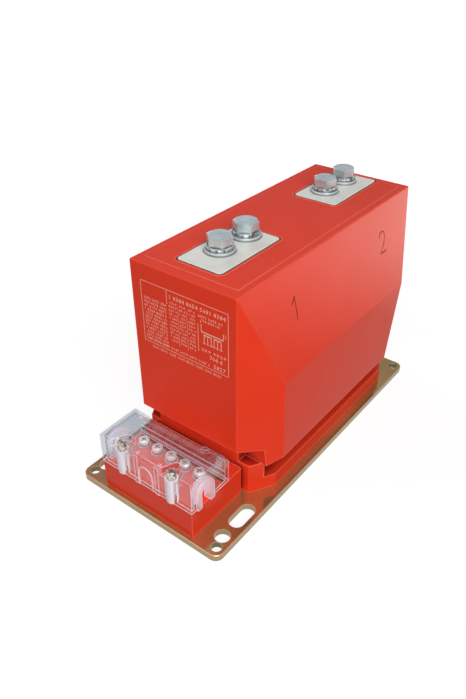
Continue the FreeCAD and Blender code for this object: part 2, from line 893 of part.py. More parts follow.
def build():
    """Every sub-part of the transformer by name."""
    secondary_wells = wells(terminal_places, block_top - insert_depth, block_top, insert_across)
    cover_wells = wells(seal_places, block_top - seal_insert_depth, block_top, seal_insert_across)
    base_wells = wells(base_screw_places, plate_top, plate_top + base_insert_depth, base_insert_across)
    leads = secondary_leads()
    bar = primary_conductor()
    tube = primary_insulation()
    embedded = [
        winding_space(measuring_start, measuring_core_width),
        winding_space(protection_start, protection_core_width),
        tube,
        bar,
    ]
    embedded += leads + secondary_wells + cover_wells + base_wells
    bolts = [hexagon_bolt(x, y, turn) for (x, y), turn in zip(primary_bolt_places, bolt_turns)]
    spring_washers = [
        split_washer(
            x,
            y,
            pad_top + flat_washer_thickness,
            spring_washer_outside,
            bolt_thread + 2 * thread_play,
            spring_washer_thickness,
            spring_washer_split,
            turn,
        )
        for (x, y), turn in zip(primary_bolt_places, bolt_turns)
    ]
    lock_washers = [
        split_washer(
            x,
            y,
            block_top + washer_thickness,
            lock_washer_outside,
            terminal_thread + 2 * thread_play,
            lock_washer_thickness,
            lock_washer_split,
            lock_washer_turn * i,
        )
        for i, (x, y) in enumerate(terminal_places)
    ]
    return {
        "base_plate": base_plate(),
        "resin_body": resin_body(embedded),
        "terminal_plate_p1": terminal_plate(front_pad_y, primary_bolt_places[:2]),
        "terminal_plate_p2": terminal_plate(rear_pad_y, primary_bolt_places[2:]),
        "primary_bolts": bolts,
        "primary_spring_washers": spring_washers,
        "primary_flat_washers": [
            washer(x, y, pad_top, flat_washer_outside, flat_washer_hole, flat_washer_thickness)
            for x, y in primary_bolt_places
        ],
        "primary_conductor": bar,
        "primary_insulation": tube,
        "measuring_core": ring_core(measuring_start, measuring_core_width),
        "measuring_winding": ring_winding(measuring_start, measuring_core_width),
        "protection_core": ring_core(protection_start, protection_core_width),
        "protection_winding": ring_winding(protection_start, protection_core_width),
        "secondary_leads": leads,
        "secondary_inserts": bored(
            secondary_wells,
            terminal_places,
            block_top - insert_bore_depth,
            block_top,
            terminal_thread + 2 * thread_play,
        ),
        "secondary_washers": [
            washer(x, y, block_top, washer_outside, washer_hole, washer_thickness)
            for x, y in terminal_places
        ],
        "secondary_spring_washers": lock_washers,
        "secondary_screws": [pan_screw(x, y) for x, y in terminal_places],
        "terminal_cover": terminal_cover(),
        "sealing_screws": [sealing_screw(x, y) for x, y in seal_places],
        "cover_inserts": bored(
            cover_wells,
            seal_places,
            block_top - seal_bore_depth,
            block_top,
            seal_thread + 2 * thread_play,
        ),
        "base_screws": [base_screw(x, y) for x, y in base_screw_places],
        "base_inserts": bored(
            base_wells,
            base_screw_places,
            plate_top,
            plate_top + base_bore_depth,
            base_screw_thread + 2 * thread_play,
        ),
    }


os.makedirs("parts", exist_ok=True)
for name, shape in build().items():
    if isinstance(shape, list):
        shape = Part.makeCompound(shape)
    shape.exportStep("parts/" + name + ".step")
    print(name, len(shape.Solids), round(shape.Volume / 1000, 2), "cm3", shape.isValid())
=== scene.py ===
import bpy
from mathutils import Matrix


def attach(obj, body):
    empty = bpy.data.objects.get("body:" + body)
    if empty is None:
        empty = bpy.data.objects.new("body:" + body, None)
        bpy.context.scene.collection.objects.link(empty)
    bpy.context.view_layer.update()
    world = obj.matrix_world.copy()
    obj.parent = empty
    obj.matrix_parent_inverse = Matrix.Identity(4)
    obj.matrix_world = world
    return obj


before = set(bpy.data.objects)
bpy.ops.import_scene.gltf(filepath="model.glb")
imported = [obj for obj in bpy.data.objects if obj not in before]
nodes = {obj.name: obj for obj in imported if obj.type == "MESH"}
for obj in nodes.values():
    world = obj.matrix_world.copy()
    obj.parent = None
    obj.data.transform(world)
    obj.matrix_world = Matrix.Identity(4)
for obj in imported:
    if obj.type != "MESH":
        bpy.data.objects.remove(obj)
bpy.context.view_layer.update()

import math

import bmesh
import bpy
from mathutils import Matrix, Vector

# Looks of a resin-cast current transformer: cast epoxy body, yellow zinc plated base plate,
# tinned terminal pads, bright bolts and a clear terminal cover. Metres, in the frame of the
# solids, with sizes below in millimetres unless they say otherwise.

MM = 0.001

# Camera: place in metres, angles in degrees, lens and sensor in millimetres
CAMERA_PLACE = (0.27499, -0.39581, 0.41109)
CAMERA_YAW = 37.67
CAMERA_PITCH = 34.62
CAMERA_ROLL = -0.10
CAMERA_LENS = 33.95
SENSOR = 36.0

# Printed table on the front face, in millimetres: its frame goes left, right, foot, top
FRONT_FACE_Y = -99.4
PRINT_FRAME = (-39.8, 42.1, 126.5, 179.2)
FRAME_WIDTH = 0.45
# Ruled lines inside it: x and z of both ends
PRINT_RULES = ((-14.3, 167.5, -14.3, 179.2), (14.7, 138.5, 14.7, 161.5))
THIN_RULES = ((-3.8, 134.0, -3.8, 168.0), (4.6, 134.0, 4.6, 168.0))
THIN_WIDTH = 0.25
# Columns of rows: first seed, digits, x, z of the top row, height, width, rows, pitch
PRINT_COLUMNS = (
    (0, 13, -37.8, 164.2, 2.3, 22.5, 12, 3.25),
    (4, 5, -12.8, 168.5, 1.9, 8.0, 11, 3.2),
    (1, 4, -2.8, 168.5, 1.9, 6.0, 11, 3.2),
    (2, 4, 5.8, 168.5, 1.9, 6.5, 11, 3.2),
)
# Single rows: seed, digits, x, z, height, width
PRINT_ROWS = (
    (3, 22, -12.5, 172.4, 3.4, 52.5),
    (0, 12, 15.0, 167.6, 2.0, 22.0),
    (1, 12, 18.0, 164.6, 2.0, 17.0),
    (2, 34, -35.3, 128.4, 2.0, 60.0),
    (4, 40, -33.8, 122.2, 2.2, 69.0),
    (6, 9, 17.2, 140.0, 2.2, 23.0),
    (1, 5, 24.6, 134.6, 3.6, 12.0),
    (5, 4, 28.4, 128.2, 3.6, 11.0),
)
# Winding diagram: x and z of both primary tops, height of the bar, then the two coils
PRIMARY_ENDS = ((17.8, 162.0), (37.8, 161.0))
PRIMARY_BAR = 156.2
COIL_STARTS = (20.3, 29.3)
COIL_WIDTH = 6.4
COIL_TOP = 154.0
LEG_END = 148.0
TERMINAL_Z = 147.0
TERMINAL_HALF = 0.8
# Its signs for both primary ends: digit, x, z, height, width
PRIMARY_SIGNS = (("1", 16.6, 163.2, 2.6, 1.0), ("2", 38.8, 158.6, 2.6, 1.6))
# Widths of its lines: legs, primary bar, coils, terminals
LEG_WIDTH = 0.6
BAR_WIDTH = 0.9
COIL_BAR_WIDTH = 1.1
TERMINAL_WIDTH = 0.7
# Thickness of the ink and of the scratched strokes, in metres
PRINT_PROUD = 0.05 * MM

# Numerals on the sloping side panel, in millimetres: the panel from ridge to rim, where they
# stand along it, and their strokes across and up the slope
RIDGE_X, RIDGE_Z = 70.1, 114.4
RIM_X, RIM_Z = 49.25, 193.5
MARK_WIDTH = 0.95
MARK_ONE_Y = -39.0
MARK_TWO_Y = 99.0
MARK_ONE = ((-3.5, 53.0), (0.5, 57.5), (0.5, 40.0))
MARK_TWO = (
    (-5.0, 54.5),
    (-3.8, 57.3),
    (-1.5, 58.8),
    (1.2, 58.8),
    (3.6, 57.2),
    (4.6, 54.6),
    (4.0, 51.6),
    (1.6, 47.6),
    (-5.0, 40.5),
    (5.0, 40.5),
)

# Box that holds the grooves round both terminal pads, where shade is painted dark, and the top of
# the shade painted on the pads in them
GROOVE_MIDDLE = (0.0, 34.45, 193.2)
GROOVE_HALF = (22.1, 118.0, 0.65)
PAD_GAP_TOP = 194.2

# Screw pockets of the clear cover, in millimetres
POCKET_X = 25.7
POCKET_Y = -148.0
POCKET_RADIUS = 5.4
# Its outer faces and their rounding
COVER_HALF = 47.3
COVER_FRONT = -151.2
COVER_EDGE = 1.5
# Its foot rim and the arched cable entries in its ends
RIM_TOP = 33.2
COVER_FOOT = 32.02
ARCH_Y = -135.7
ARCH_Z = 46.0
ARCH_RADIUS = 9.9
ARCH_INSIDE = 42.2
# Its flat roof, hazier towards the front
ROOF_CLEAR = -122.0
ROOF_HAZY = -138.0

# Where the base plate turns olive towards its rear and redder towards its left side: painted
# reflections, of a darker room behind and of the red resin beside it
OLIVE_FROM, OLIVE_TO = 30.0, 150.0
REDDER_FROM, REDDER_TO = -10.0, -60.0
# Wave scale for a turn of tape about every 12.6 mm
TAPE_WAVES = 25.0

# Studio, in metres: where the floor turns fully white to the eye, and where its gloss brightens
WHITE_FROM, WHITE_TO = 0.25, 0.8
SHINE_FROM, SHINE_TO = 0.24, 0.8
FLOOR_HALF = 3.0
# Ceiling seen in gloss, by how far up a direction points: where it brightens, and where it
# darkens overhead
CEILING_FROM, CEILING_TO = 0.32, 0.46
OVERHEAD_FROM, OVERHEAD_TO = 0.52, 0.68
# Direction of the bright patch that stands in for the key lamp in the gloss, and the cosine of
# the angle from it at the patch's rim and in its full part
PATCH_HEADING = (0.567, -0.567, 0.597)
PATCH_RIM, PATCH_FULL = 0.88, 0.96
# Point of the object that the lamps face, then the soft lamps: name, place, size and watts
LAMP_AIM = (0.0, 0.0, 0.1)
LAMPS = (
    ("key_lamp", (0.98, -0.95, 1.1), 1.3, 32.0),
    ("back_lamp", (-1.3, 0.35, 0.6), 0.9, 8.0),
)


def linear(code):
    """Linear colour from an sRGB hex value."""
    parts = [int(code[i : i + 2], 16) / 255 for i in (1, 3, 5)]
    colour = [v / 12.92 if v <= 0.04045 else ((v + 0.055) / 1.055) ** 2.4 for v in parts]
    return (*colour, 1.0)


def add(tree, kind, inputs=None, **settings):
    """Adds a node: inputs are constants or links by socket name or number.

    A Map Range takes by number its value, the range it comes from and the range it goes to.
    """
    made = tree.nodes.new(kind)
    for key, value in settings.items():
        setattr(made, key, value)
    for key, value in (inputs or {}).items():
        if isinstance(value, bpy.types.NodeSocket):
            tree.links.new(value, made.inputs[key])
        else:
            made.inputs[key].default_value = value
    return made


def new_material(name, shade, *settings):
    """Material whose shader is built by a function of its tree and its Object coordinates."""
    made = bpy.data.materials.new(name)
    made.use_nodes = True
    tree = made.node_tree
    tree.nodes.clear()
    place = add(tree, "ShaderNodeTexCoord").outputs["Object"]
    shader = shade(tree, place, *settings)
    add(tree, "ShaderNodeOutputMaterial", {"Surface": shader.outputs[0]})
    return made


def cloud(tree, place, size_mm, low, high, detail=3.0, stretch=(1, 1, 1), spread=0.15):
    """Soft patches of about one size in millimetres, as a value from low to high."""
    mapped = add(tree, "ShaderNodeMapping", {"Vector": place, "Scale": stretch})
    noise = add(
        tree,
        "ShaderNodeTexNoise",
        {"Vector": mapped.outputs[0], "Scale": 1 / (size_mm * MM), "Detail": detail},
    )
    value = add(
        tree,
        "ShaderNodeMapRange",
        {0: noise.outputs["Fac"], 1: 0.5 - spread, 2: 0.5 + spread, 3: low, 4: high},
    )
    return value.outputs[0]


def grain(tree, place, size_mm, depth_mm, strength=0.5, stretch=(1, 1, 1)):
    """Shallow relief with bumps of about one size and depth in millimetres, as a normal."""
    height = cloud(tree, place, size_mm, 0.0, 1.0, 2.0, stretch, 0.5)
    bump = add(
        tree,
        "ShaderNodeBump",
        {"Height": height, "Distance": depth_mm * MM, "Strength": strength},
    )
    return bump.outputs[0]


def layered(tree, base, *layers):
    """Colour built up in layers, each an amount and the sRGB colour it lays over the rest."""
    below = linear(base)
    for amount, colour in layers:
        mixed = add(
            tree, "ShaderNodeMix", {0: amount, 6: below, 7: linear(colour)}, data_type="RGBA"
        )
        below = mixed.outputs[2]
    return below


def edge_mask(tree, radius_mm, most):
    """Amount on sharp edges and zero elsewhere: it places painted edge highlights, and milk on
    the cover's edges.
    """
    rounded = add(tree, "ShaderNodeBevel", {"Radius": radius_mm * MM}, samples=4)
    flat = add(tree, "ShaderNodeNewGeometry")
    agree = add(
        tree,
        "ShaderNodeVectorMath",
        {0: rounded.outputs[0], 1: flat.outputs["Normal"]},
        operation="DOT_PRODUCT",
    )
    return add(
        tree, "ShaderNodeMapRange", {0: agree.outputs["Value"], 1: 0.99, 2: 0.9, 3: 0.0, 4: most}
    ).outputs[0]


def recess_mask(tree, reach_mm, most, own, open_part):
    """Amount in grooves and corners where less than some part of the sky is open, for painted
    shade there.
    """
    near = add(
        tree, "ShaderNodeAmbientOcclusion", {"Distance": reach_mm * MM}, samples=8, only_local=own
    )
    closed = open_part - 0.4
    return add(
        tree,
        "ShaderNodeMapRange",
        {0: near.outputs["AO"], 1: open_part, 2: closed, 3: 0.0, 4: most},
    ).outputs[0]


def box_mask(tree, place, middle, half):
    """One inside a box of the object, given in millimetres, and zero outside."""
    spot = add(tree, "ShaderNodeSeparateXYZ", {0: place})
    amount = 1.0
    for value, centre, reach in zip(spot.outputs, middle, half):
        within = add(
            tree, "ShaderNodeMath", {0: value, 1: centre * MM, 2: reach * MM}, operation="COMPARE"
        ).outputs[0]
        amount = add(
            tree, "ShaderNodeMath", {0: amount, 1: within}, operation="MULTIPLY"
        ).outputs[0]
    return amount


def cast_resin(tree, place):
    """Red epoxy cast in a polished steel mould: satin skin, clouded pigment, painted shade in
    grooves and round the pads, painted highlights on the edges.
    """
    tint = layered(
        tree,
        "#E03619",
        (cloud(tree, place, 60.0, 0.0, 0.6, 1.0, spread=0.4), "#E6402A"),
        # Painted shade: deep red where grooves and corners are closed in
        (recess_mask(tree, 22.0, 0.95, True, 0.66), "#760B05"),
        # Painted shade: dark red in the grooves round the terminal pads
        (box_mask(tree, place, GROOVE_MIDDLE, GROOVE_HALF), "#5E0E08"),
        # Painted highlight: paler orange along the sharp edges
        (edge_mask(tree, 1.3, 0.55), "#FA947A"),
    )
    return add(
        tree,
        "ShaderNodeBsdfPrincipled",
        {
            "Base Color": tint,
            "Roughness": cloud(tree, place, 25.0, 0.2, 0.25, 1.0, spread=0.4),
            "IOR": 1.5,
            "Specular IOR Level": 0.09,
            "Normal": grain(tree, place, 9.0, 0.015, 0.3),
        },
    )


def yellow_zinc(tree, place):
    """Zinc plated, yellow passivated steel sheet: gold, olive and red patches, paler cut faces,
    painted reflections towards its rear and left, painted shade in holes and corners, painted
    highlights on its edges.
    """
    facing = add(tree, "ShaderNodeNewGeometry").outputs["Normal"]
    height = add(tree, "ShaderNodeSeparateXYZ", {0: facing}).outputs["Z"]
    upright = add(tree, "ShaderNodeMath", {0: height}, operation="ABSOLUTE").outputs[0]
    cut = add(tree, "ShaderNodeMapRange", {0: upright, 1: 0.6, 2: 0.3, 3: 0.0, 4: 0.8}).outputs[0]
    spot = add(tree, "ShaderNodeSeparateXYZ", {0: place})
    # Painted reflections: darker olive towards the rear and redder towards the left
    rear = add(
        tree,
        "ShaderNodeMapRange",
        {0: spot.outputs[1], 1: OLIVE_FROM * MM, 2: OLIVE_TO * MM, 3: 0.0, 4: 0.8},
    ).outputs[0]
    left = add(
        tree,
        "ShaderNodeMapRange",
        {0: spot.outputs[0], 1: REDDER_FROM * MM, 2: REDDER_TO * MM, 3: 0.0, 4: 0.5},
    ).outputs[0]
    tint = layered(
        tree,
        "#D8A468",
        (cloud(tree, place, 45.0, 0.0, 0.7, 4.0, spread=0.25), "#AC905A"),
        (cloud(tree, place, 28.0, 0.0, 0.6, 2.0, (1.0, 0.3, 1.0), 0.25), "#E08C68"),
        (cloud(tree, place, 16.0, 0.0, 0.5, 2.0, (1.0, 0.4, 1.0), 0.25), "#929464"),
        (rear, "#7E6C38"),
        (left, "#A8705C"),
        (cut, "#A69A7A"),
        # Painted shade: dark olive brown in the holes and corners
        (recess_mask(tree, 12.0, 0.8, True, 0.82), "#3A2E18"),
        # Painted highlight: pale along the sharp edges
        (edge_mask(tree, 0.6, 1.0), "#F4E8D0"),
    )
    along = (1.0, 0.06, 1.0)
    return add(
        tree,
        "ShaderNodeBsdfPrincipled",
        {
            "Base Color": tint,
            "Metallic": 0.7,
            "Roughness": cloud(tree, place, 5.0, 0.1, 0.17, 3.0, along),
            "Normal": grain(tree, place, 1.4, 0.008, 0.4, along),
        },
    )


def plated_metal(
    tree, place, tones, mirror, rough, grain_mm, depth_mm, stretch=(1, 1, 1), gap_shade_top=0.0
):
    """Plated or bare metal: two tones in patches, painted highlights on edges, painted shade in
    corners and in a gap low down.
    """
    dark, light, edge_highlight = tones
    height = add(tree, "ShaderNodeSeparateXYZ", {0: place}).outputs["Z"]
    # Painted shade: dark brown below a given height, in the gap round a pad
    below = add(tree, "ShaderNodeMath", {0: height, 1: gap_shade_top * MM}, operation="LESS_THAN")
    tint = layered(
        tree,
        dark,
        (cloud(tree, place, 3 * grain_mm, 0.0, 1.0), light),
        # Painted shade: near black in tight corners and round parts that touch
        (recess_mask(tree, 2.5, 0.95, False, 0.86), "#1E2226"),
        # Painted highlight: the highlight tone along sharp edges
        (edge_mask(tree, 0.5, 0.7), edge_highlight),
        (below.outputs[0], "#33190F"),
    )
    return add(
        tree,
        "ShaderNodeBsdfPrincipled",
        {
            "Base Color": tint,
            "Metallic": mirror,
            "Roughness": cloud(tree, place, grain_mm, rough, rough + 0.1, 2.0, stretch),
            "Normal": grain(tree, place, grain_mm, depth_mm, 0.5, stretch),
        },
    )


def rounded_corners(tree, sides, across, spot):
    """Faint milk on the rounded outer corners of the cover, where the wall is seen end on."""
    parts = []
    for flatness, depth, skin in (
        (sides.outputs[0], across, COVER_HALF - COVER_EDGE),
        (sides.outputs[1], spot.outputs[1], COVER_FRONT + COVER_EDGE),
    ):
        turned = add(
            tree, "ShaderNodeMapRange", {0: flatness, 1: 0.99, 2: 0.9, 3: 0.0, 4: 0.1}
        ).outputs[0]
        beyond = "GREATER_THAN" if skin > 0 else "LESS_THAN"
        outer = add(
            tree, "ShaderNodeMath", {0: depth, 1: skin * MM}, operation=beyond
        ).outputs[0]
        parts.append(
            add(tree, "ShaderNodeMath", {0: turned, 1: outer}, operation="MULTIPLY").outputs[0]
        )
    return parts


def pocket_walls(tree, across, spot):
    """Milk in the thick walls of the two screw pockets."""
    on_plan = add(tree, "ShaderNodeCombineXYZ", {0: across, 1: spot.outputs[1]}).outputs[0]
    far = add(
        tree,
        "ShaderNodeVectorMath",
        {0: on_plan, 1: (POCKET_X * MM, POCKET_Y * MM, 0.0)},
        operation="DISTANCE",
    ).outputs["Value"]
    reach = POCKET_RADIUS * MM
    return add(
        tree, "ShaderNodeMapRange", {0: far, 1: reach * 1.1, 2: reach, 3: 0.0, 4: 0.85}
    ).outputs[0]


def entry_collars(tree, across, spot):
    """Milk in the collars of the arched cable entries, outside the end walls."""
    over = add(
        tree, "ShaderNodeMath", {0: spot.outputs[2], 1: ARCH_Z * MM}, operation="SUBTRACT"
    ).outputs[0]
    over = add(tree, "ShaderNodeMath", {0: over, 1: 0.0}, operation="MAXIMUM").outputs[0]
    aside = add(
        tree, "ShaderNodeMath", {0: spot.outputs[1], 1: ARCH_Y * MM}, operation="SUBTRACT"
    ).outputs[0]
    on_end = add(tree, "ShaderNodeCombineXYZ", {0: aside, 1: over}).outputs[0]
    off = add(
        tree, "ShaderNodeVectorMath", {0: on_end}, operation="LENGTH"
    ).outputs["Value"]
    arch = add(
        tree,
        "ShaderNodeMapRange",
        {0: off, 1: (ARCH_RADIUS + 0.5) * MM, 2: ARCH_RADIUS * MM, 3: 0.0, 4: 0.42},
    ).outputs[0]
    outer = add(
        tree, "ShaderNodeMath", {0: across, 1: ARCH_INSIDE * MM}, operation="GREATER_THAN"
    ).outputs[0]
    return add(tree, "ShaderNodeMath", {0: arch, 1: outer}, operation="MULTIPLY").outputs[0]


def roof_haze(tree, sides, spot):
    """Light haze on the front of the flat roof and on its slope."""
    level = add(
        tree, "ShaderNodeMapRange", {0: sides.outputs[2], 1: 0.9, 2: 0.99, 3: 0.0, 4: 1.0}
    ).outputs[0]
    forward = add(
        tree,
        "ShaderNodeMapRange",
        {0: spot.outputs[1], 1: ROOF_CLEAR * MM, 2: ROOF_HAZY * MM, 3: 0.0, 4: 0.1},
    ).outputs[0]
    flat = add(tree, "ShaderNodeMath", {0: level, 1: forward}, operation="MULTIPLY").outputs[0]
    leaning = add(
        tree,
        "ShaderNodeMath",
        {0: sides.outputs[1], 1: sides.outputs[2]},
        operation="MULTIPLY",
    ).outputs[0]
    slope = add(
        tree, "ShaderNodeMapRange", {0: leaning, 1: 0.4, 2: 0.48, 3: 0.0, 4: 0.1}
    ).outputs[0]
    return flat, slope


def milky_share(tree, place, spot):
    """How much of the cover looks milky instead of clear, from nearly none to most of it."""
    facing = add(tree, "ShaderNodeNewGeometry").outputs["Normal"]
    upright = add(tree, "ShaderNodeVectorMath", {0: facing}, operation="ABSOLUTE").outputs[0]
    sides = add(tree, "ShaderNodeSeparateXYZ", {0: upright})
    across = add(tree, "ShaderNodeMath", {0: spot.outputs[0]}, operation="ABSOLUTE").outputs[0]
    rim = add(
        tree,
        "ShaderNodeMapRange",
        {0: spot.outputs[2], 1: RIM_TOP * MM, 2: (RIM_TOP - 0.4) * MM, 3: 0.0, 4: 0.9},
    ).outputs[0]
    share = cloud(tree, place, 12.0, 0.008, 0.02, 3.0, (0.2, 1.0, 1.0))
    for part in (
        *rounded_corners(tree, sides, across, spot),
        edge_mask(tree, 0.8, 0.75),
        pocket_walls(tree, across, spot),
        rim,
        entry_collars(tree, across, spot),
        *roof_haze(tree, sides, spot),
    ):
        share = add(tree, "ShaderNodeMath", {0: share, 1: part}, operation="MAXIMUM").outputs[0]
    return share


def clear_plastic(tree, place):
    """Moulded polycarbonate: clear walls, milky edges and screw pockets, faint flow lines."""
    spot = add(tree, "ShaderNodeSeparateXYZ", {0: place})
    # The mirror is weak face on and strong at a glance
    slant = add(tree, "ShaderNodeLayerWeight", {"Blend": 0.5}).outputs["Facing"]
    steep = add(tree, "ShaderNodeMath", {0: slant, 1: 4.0}, operation="POWER").outputs[0]
    mirrored = add(tree, "ShaderNodeMapRange", {0: steep, 3: 0.035, 4: 0.8}).outputs[0]
    waves = grain(tree, place, 7.0, 0.02, 0.4, (0.3, 1.0, 1.0))
    shine = add(
        tree,
        "ShaderNodeBsdfGlossy",
        {"Color": linear("#FFFFFF"), "Roughness": 0.06, "Normal": waves},
    )
    left = add(
        tree, "ShaderNodeMath", {0: spot.outputs[0], 1: -ARCH_INSIDE * MM}, operation="LESS_THAN"
    ).outputs[0]
    # The IOR is far below the plastic's, because so thin a wall hardly shifts what is behind it
    through = add(
        tree,
        "ShaderNodeBsdfRefraction",
        {"Color": layered(tree, "#EFF1F3", (left, "#E0E5E9")), "Roughness": 0.0, "IOR": 1.003},
    )
    clear = add(
        tree,
        "ShaderNodeMixShader",
        {0: mirrored, 1: through.outputs[0], 2: shine.outputs[0]},
    )
    lit = add(tree, "ShaderNodeBsdfDiffuse", {"Color": linear("#F6F3FA")})
    shone = add(tree, "ShaderNodeBsdfTranslucent", {"Color": linear("#F6F3FA")})
    milk = add(tree, "ShaderNodeMixShader", {0: 0.3, 1: lit.outputs[0], 2: shone.outputs[0]})
    wall = add(
        tree,
        "ShaderNodeMixShader",
        {0: milky_share(tree, place, spot), 1: clear.outputs[0], 2: milk.outputs[0]},
    )
    # No light gets between the foot and the terminal block, so the underside of the foot is
    # painted to glow with the red of the resin that it touches: a painted glow, not a lamp
    under = add(
        tree, "ShaderNodeMath", {0: spot.outputs[2], 1: COVER_FOOT * MM}, operation="LESS_THAN"
    )
    painted_glow = add(tree, "ShaderNodeEmission", {"Color": linear("#CC6454"), "Strength": 1.0})
    wall = add(
        tree,
        "ShaderNodeMixShader",
        {0: under.outputs[0], 1: wall.outputs[0], 2: painted_glow.outputs[0]},
    )
    # Light passes straight in to what stands under the cover, a little dimmed
    open_way = add(tree, "ShaderNodeBsdfTransparent", {"Color": linear("#B0ACB0")})
    rays = add(tree, "ShaderNodeLightPath")
    return add(
        tree,
        "ShaderNodeMixShader",
        {0: rays.outputs["Is Shadow Ray"], 1: wall.outputs[0], 2: open_way.outputs[0]},
    )


def print_ink(tree, place):
    """Screen-printed enamel ink: pale, matt, thin in small spots."""
    return add(
        tree,
        "ShaderNodeBsdfPrincipled",
        {
            "Base Color": layered(
                tree, "#EEBEAC", (cloud(tree, place, 0.8, 0.0, 0.6), "#E08A74")
            ),
            "Roughness": cloud(tree, place, 0.8, 0.5, 0.65),
            "IOR": 1.5,
            "Normal": grain(tree, place, 0.8, 0.01),
        },
    )


def scratched_resin(tree, place):
    """Bottom of a scratched numeral: dark red, rough, clouded lighter in patches."""
    return add(
        tree,
        "ShaderNodeBsdfPrincipled",
        {
            "Base Color": layered(
                tree, "#6A160E", (cloud(tree, place, 1.5, 0.0, 1.0), "#8C2216")
            ),
            "Roughness": cloud(tree, place, 1.5, 0.6, 0.8),
            "IOR": 1.5,
            "Specular IOR Level": 0.13,
            "Normal": grain(tree, place, 1.5, 0.05),
        },
    )


def wound_wire(tree, place):
    """Enamelled copper wire under varnished tape: brown, with even turns round the core."""
    turns = add(
        tree,
        "ShaderNodeTexWave",
        {"Vector": place, "Scale": TAPE_WAVES, "Distortion": 0.4},
        bands_direction="Y",
    ).outputs["Fac"]
    ridge = add(tree, "ShaderNodeBump", {"Height": turns, "Distance": 0.2 * MM, "Strength": 0.6})
    return add(
        tree,
        "ShaderNodeBsdfPrincipled",
        {
            "Base Color": layered(
                tree,
                "#7A4424",
                (turns, "#A8683A"),
                (cloud(tree, place, 12.0, 0.0, 0.4), "#8C5A34"),
            ),
            "Metallic": 0.6,
            "Roughness": cloud(tree, place, 4.0, 0.35, 0.5),
            "Normal": ridge.outputs[0],
        },
    )


def paper_laminate(tree, place):
    """Insulating tube rolled from varnished paper: brown, with faint layers."""
    layers = (1.0, 0.1, 1.0)
    return add(
        tree,
        "ShaderNodeBsdfPrincipled",
        {
            "Base Color": layered(
                tree, "#8E6A3C", (cloud(tree, place, 3.0, 0.0, 1.0, 5.0, layers), "#A9834E")
            ),
            "Roughness": cloud(tree, place, 3.0, 0.42, 0.6, 3.0, layers),
            "IOR": 1.5,
            "Normal": grain(tree, place, 3.0, 0.05, 0.5, layers),
        },
    )


def metal(name, *settings):
    """Plated or bare metal material."""
    return new_material(name, plated_metal, *settings)


RESIN = new_material("cast_epoxy_resin_red", cast_resin)
PLATE = new_material("yellow_passivated_zinc_on_steel", yellow_zinc)
CLEAR = new_material("moulded_polycarbonate_clear", clear_plastic)
WIRE = new_material("taped_enamelled_wire", wound_wire)
TUBE = new_material("varnished_paper_laminate", paper_laminate)
INK = new_material("screen_printed_ink_pale", print_ink)
SCRATCH = new_material("scratched_resin_dark", scratched_resin)

# Metals: dark, light and painted edge highlight tone, how metallic, roughness, grain and its
# depth in millimetres, then the grain's stretch and the top of the painted gap shade where a
# metal has them
# Hot-tinned copper: pale, slightly warm, satin, with painted shade in the gap round it
TINNED = metal(
    "tinned_copper_satin",
    ("#E8E6DE", "#EFEDE6", "#F4E6C8"),
    0.25,
    0.42,
    3.0,
    0.006,
    (1.0, 0.3, 1.0),
    PAD_GAP_TOP,
)
# Bright zinc on forged hexagon bolts: bluish, fairly glossy
ZINC = metal("bright_zinc_on_steel", ("#B8CACF", "#D2E0E4", "#FAFCFD"), 0.7, 0.3, 3.0, 0.006)
# The same on the flat washers, painted brighter as a stand-in for their highlights
RING = metal("bright_zinc_on_washers", ("#CCD8DB", "#E0E9EC", "#FFFFFF"), 0.65, 0.3, 1.5, 0.004)
# The same on spring washers: patchy, as a bent ring shows dark and bright parts of the room
SPRING = metal(
    "bright_zinc_on_spring_steel", ("#4C565A", "#F2F8FA", "#FFFFFF"), 0.6, 0.3, 1.2, 0.004
)
# Nickel on small turned screws: warm white, glossy
NICKEL = metal("nickel_plated_steel", ("#F0EEE4", "#F8F6EE", "#FFFFFC"), 0.5, 0.3, 2.0, 0.004)
# Nickel on their spring washers, painted dark for the shade under each head: a dark ring there
SHADED_SPRING = metal(
    "nickel_spring_steel_painted_dark", ("#5C5850", "#7C786E", "#D8D4CA"), 0.6, 0.4, 2.0, 0.004
)
# Nickel on the sealing screws, mottled: dark and bright spots
MOTTLED = metal(
    "mottled_nickel_on_steel", ("#847E70", "#F4F1E8", "#FFFFFF"), 0.65, 0.3, 0.6, 0.004
)
# Turned brass: yellow, with fine tool marks
BRASS = metal(
    "turned_brass", ("#B8964E", "#CBAA62", "#E4CC90"), 1.0, 0.28, 0.5, 0.01, (1.0, 1.0, 4.0)
)
# Drawn copper bar: reddish, dulled a little
COPPER = metal(
    "drawn_copper_bar", ("#B06A42", "#C47E54", "#E0A078"), 1.0, 0.29, 1.0, 0.01, (1.0, 0.1, 1.0)
)
# Wound silicon steel strip: dark grey with its edges showing as fine lines
CORE = metal(
    "wound_silicon_steel_strip",
    ("#5E6164", "#73777A", "#8A8E92"),
    1.0,
    0.38,
    0.5,
    0.02,
    (1.0, 0.05, 1.0),
)

finishes = {
    "base_plate": PLATE,
    "resin_body": RESIN,
    "terminal_plate_p1": TINNED,
    "terminal_plate_p2": TINNED,
    "primary_bolts": ZINC,
    "primary_spring_washers": SPRING,
    "primary_flat_washers": RING,
    "primary_conductor": COPPER,
    "primary_insulation": TUBE,
    "measuring_core": CORE,
    "measuring_winding": WIRE,
    "protection_core": CORE,
    "protection_winding": WIRE,
    "secondary_leads": WIRE,
    "secondary_inserts": BRASS,
    "secondary_washers": NICKEL,
    "secondary_spring_washers": SHADED_SPRING,
    "secondary_screws": NICKEL,
    "terminal_cover": CLEAR,
    "sealing_screws": MOTTLED,
    "cover_inserts": BRASS,
    "base_screws": ZINC,
    "base_inserts": BRASS,
}
for name, finish in finishes.items():
    nodes[name].data.materials.clear()
    nodes[name].data.materials.append(finish)


